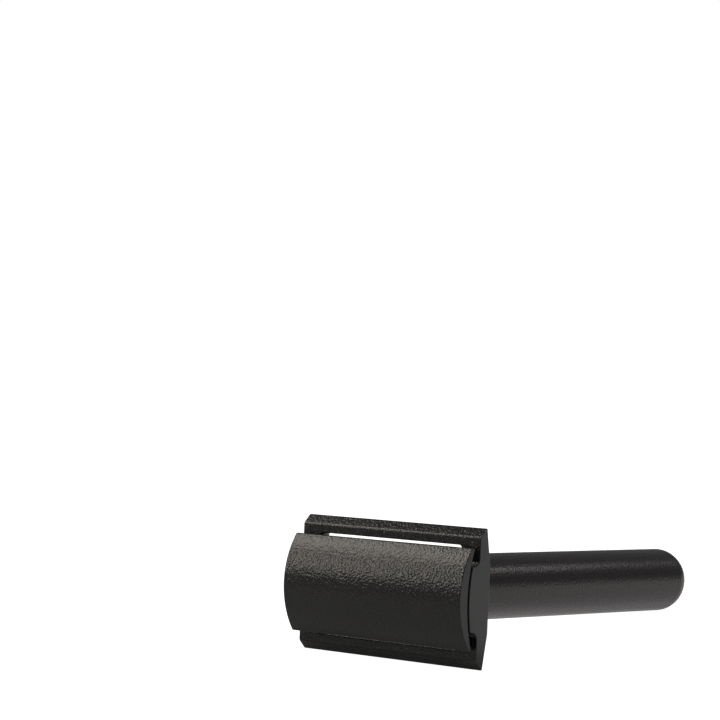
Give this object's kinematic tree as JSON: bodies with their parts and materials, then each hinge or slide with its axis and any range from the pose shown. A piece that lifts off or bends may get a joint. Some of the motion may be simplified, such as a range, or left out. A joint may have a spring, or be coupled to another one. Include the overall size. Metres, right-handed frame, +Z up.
{
  "type": "double-edge safety razor",
  "caption": "Three-piece double-edge safety razor without a blade, with a domed cap, a slotted guard plate and a smooth straight handle, in matt black.",
  "frame": {"origin": "on the surface that the razor lies on, under the middle of its box", "axes": "+Z up; +X along the edge that a blade would have, towards the head's right end seen from the cap; +Y from the cap towards the handle's end"},
  "size_m": [0.0436, 0.095, 0.0255],
  "materials": {
    "black_aluminium": "black anodised, finely bead-blasted",
    "black_handle": "black anodised, finely bead-blasted turned bar",
    "stud_steel": "plain stainless steel, rolled thread",
    "pin_steel": "ground stainless steel",
    "insert_brass": "turned brass"
  },
  "bodies": {
    "cap": {"top_cap": "black_aluminium", "threaded_stud": "stud_steel", "locating_pin_left": "pin_steel", "locating_pin_right": "pin_steel"},
    "plate": {"base_plate": "black_aluminium"},
    "handle": {"handle": "black_handle", "thread_insert": "insert_brass"}
  },
  "joints": [
    {"name": "plate_slide", "type": "slide", "parent": "cap", "child": "plate", "axis": [0, 0.9971, -0.0764], "range_m": [0, 0.008]},
    {"name": "handle_turn", "type": "hinge", "parent": "plate", "child": "handle", "pos_m": [0, -0.03935, 0.01266], "axis": [0, 0.9971, -0.0764], "range_deg": [0, 3600]}
  ],
  "couplings": [
    {"joint": "handle_turn", "follows": "plate_slide", "rad_per_m": 7854}
  ]
}
